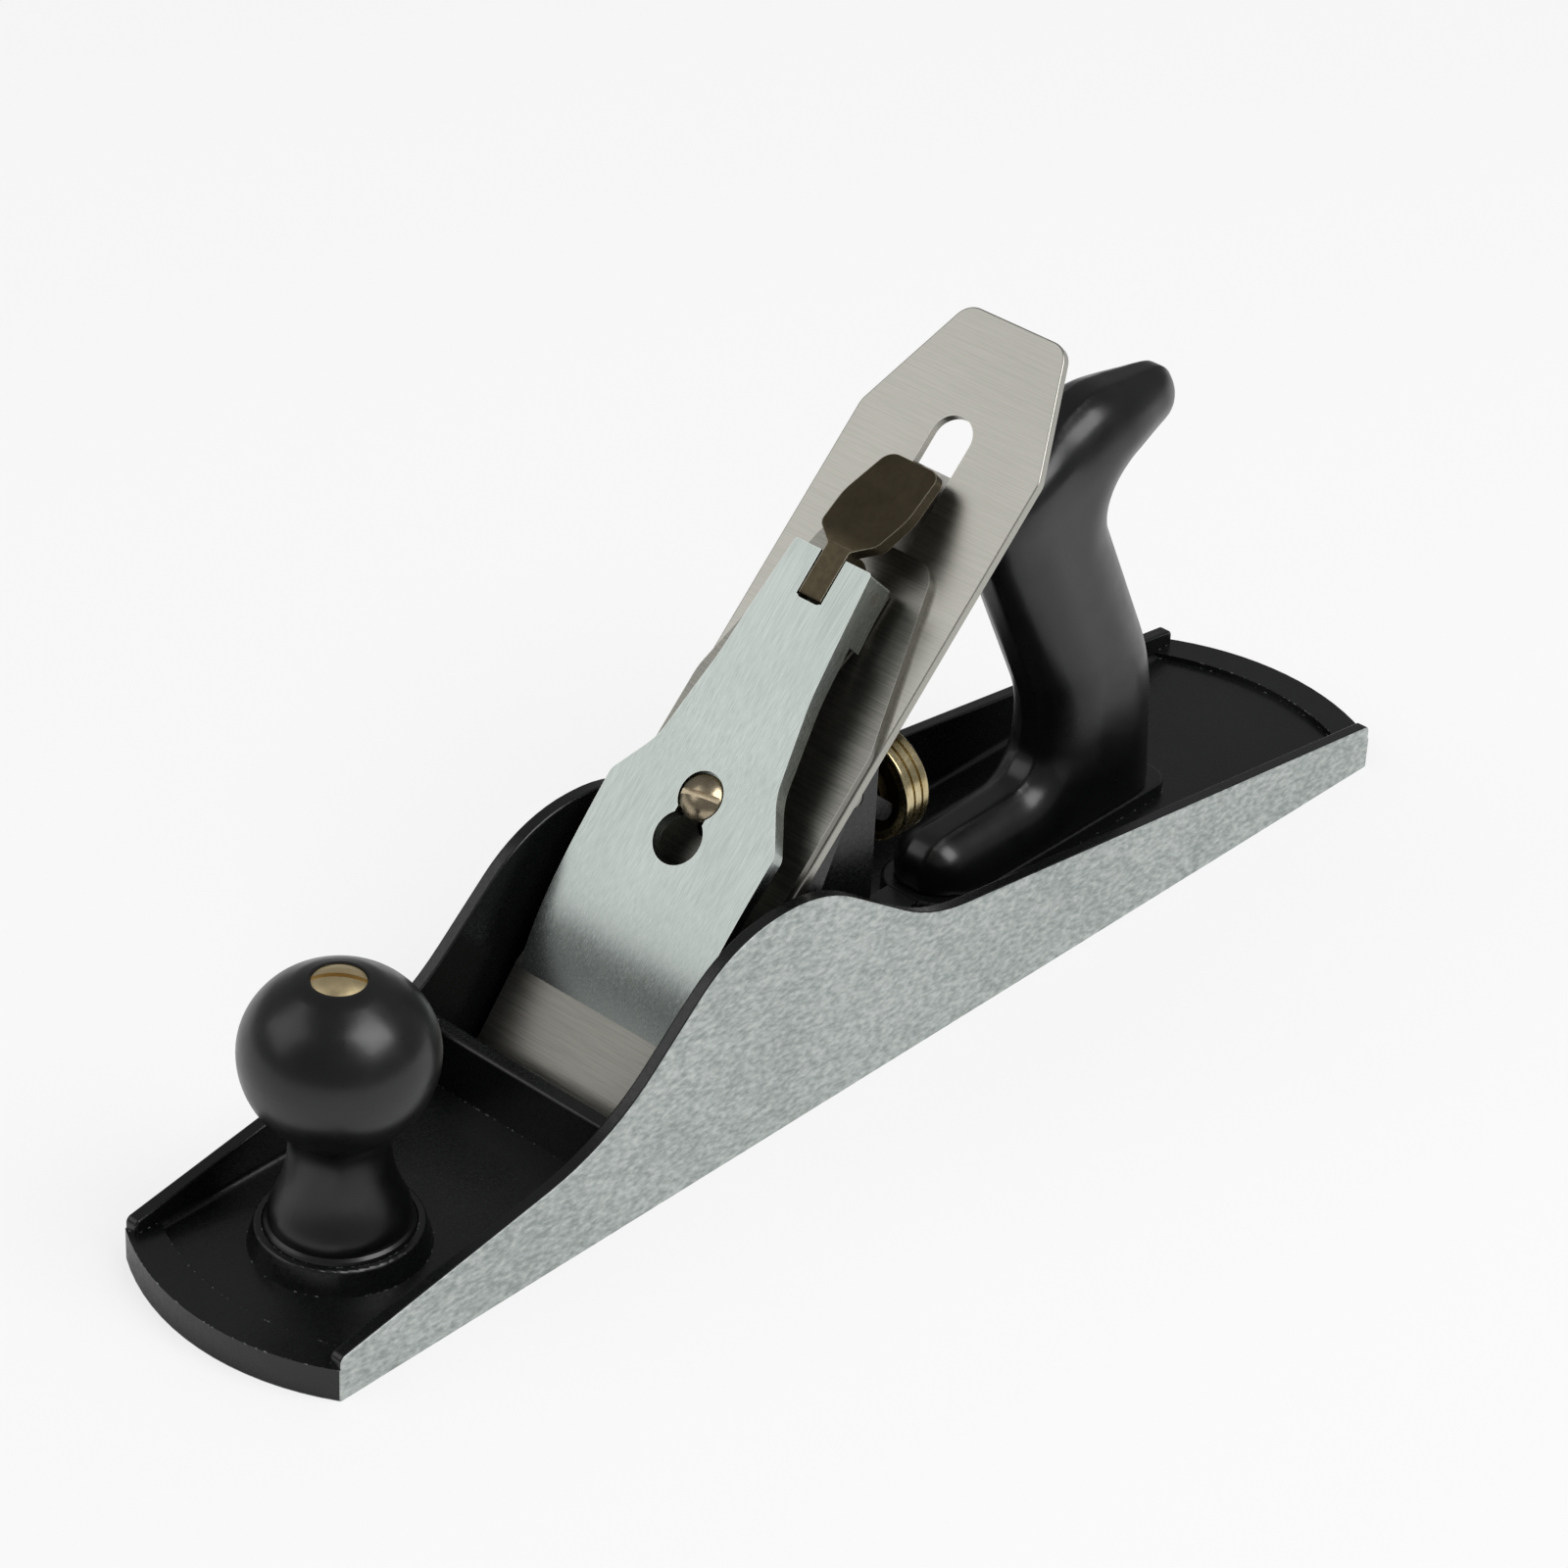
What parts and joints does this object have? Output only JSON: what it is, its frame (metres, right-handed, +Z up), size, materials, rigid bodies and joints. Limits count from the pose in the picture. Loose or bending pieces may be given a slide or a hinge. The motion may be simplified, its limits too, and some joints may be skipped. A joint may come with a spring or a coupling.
{
  "type": "hand plane",
  "caption": "Metal bench plane with a curved-sided sole, adjustable frog, bevelled iron with chip breaker, lever cap, round front knob and shaped rear handle.",
  "frame": {"origin": "centre of the sole's underside, midway along its length", "axes": "+X towards the toe, the way the plane is pushed, +Y towards its left side, +Z up from the sole"},
  "size_m": [0.355, 0.064, 0.1454],
  "materials": {
    "sole_casting": "black japanning, with ground sides and sole",
    "japanning": "glossy black japanning over a casting",
    "dark_casting": "dull dark casting",
    "small_steel": "plain turned steel",
    "blade_steel": "brushed across the blade",
    "lever_cap_nickel": "brushed nickel plate over a casting",
    "screw_nickel": "worn plated brass",
    "cam_bronze": "dark bronze",
    "brass": "polished brass",
    "handle_black": "satin black"
  },
  "bodies": {
    "sole": {"body": "sole_casting", "front_knob": "handle_black", "knob_rod": "small_steel", "knob_nut": "brass", "tote": "handle_black", "tote_rod": "small_steel", "tote_nut": "brass", "tote_toe_pin": "small_steel", "frog_screws": "small_steel", "frog_washers": "small_steel"},
    "frog": {"frog": "japanning", "frog_clip": "small_steel", "frog_clip_screw": "small_steel", "yoke_pin": "small_steel", "lateral_rivet": "small_steel", "lever_cap": "lever_cap_nickel", "lever_cap_screw": "screw_nickel", "cam_pin": "small_steel", "lever_cap_spring": "small_steel", "spring_rivet": "small_steel"},
    "frog_adjuster": {"frog_adjusting_screw": "small_steel"},
    "yoke": {"yoke": "dark_casting"},
    "stud": {"depth_stud": "small_steel"},
    "wheel": {"depth_wheel": "brass"},
    "cutter_carrier": {"cap_iron_screw": "small_steel"},
    "cutter": {"cutting_iron": "blade_steel", "chip_breaker": "blade_steel"},
    "lateral": {"lateral_lever": "small_steel", "lateral_disc": "small_steel"},
    "cam": {"lever_cap_cam": "cam_bronze"}
  },
  "joints": [
    {"name": "frog_slide", "type": "slide", "parent": "sole", "child": "frog", "axis": [1, 0, 0], "range_m": [-0.001, 0.0015]},
    {"name": "frog_adjuster_turn", "type": "hinge", "parent": "frog", "child": "frog_adjuster", "pos_m": [-0.01, 0, 0.0142], "axis": [1, 0, 0], "range_deg": [-452.25, 677.25]},
    {"name": "cutter_depth", "type": "slide", "parent": "frog", "child": "cutter_carrier", "axis": [-0.7071, 0, 0.7071], "range_m": [-0.0008, 0.002]},
    {"name": "cutter_skew", "type": "hinge", "parent": "cutter_carrier", "child": "cutter", "pos_m": [0.00945, 0, 0.0746], "axis": [0.7071, 0, 0.7071], "range_deg": [-1, 1]},
    {"name": "lateral_swing", "type": "hinge", "parent": "frog", "child": "lateral", "pos_m": [-0.00964, 0, 0.09369], "axis": [0.7071, 0, 0.7071], "range_deg": [-3.2, 3.2]},
    {"name": "yoke_rock", "type": "hinge", "parent": "frog", "child": "yoke", "pos_m": [0.002, 0, 0.06], "axis": [0, 1, 0], "range_deg": [-6.8, 2.73]},
    {"name": "stud_travel", "type": "slide", "parent": "frog", "child": "stud", "axis": [1, 0, 0], "range_m": [-0.00067, 0.00166]},
    {"name": "wheel_turn", "type": "hinge", "parent": "stud", "child": "wheel", "pos_m": [-0.02325, 0, 0.046], "axis": [1, 0, 0], "range_deg": [-598.41, 240.37]},
    {"name": "cam_flip", "type": "hinge", "parent": "frog", "child": "cam", "pos_m": [-0.00611, 0, 0.1043], "axis": [0, 1, 0], "range_deg": [0, 90]}
  ],
  "couplings": [
    {"joint": "frog_adjuster_turn", "follows": "frog_slide", "rad_per_m": 7854},
    {"joint": "yoke_rock", "follows": "cutter_depth", "rad_per_m": -59.201},
    {"joint": "stud_travel", "follows": "cutter_depth", "ratio": 0.82881},
    {"joint": "wheel_turn", "follows": "cutter_depth", "rad_per_m": -5207.6},
    {"joint": "lateral_swing", "follows": "cutter_skew", "ratio": -3.1538}
  ]
}
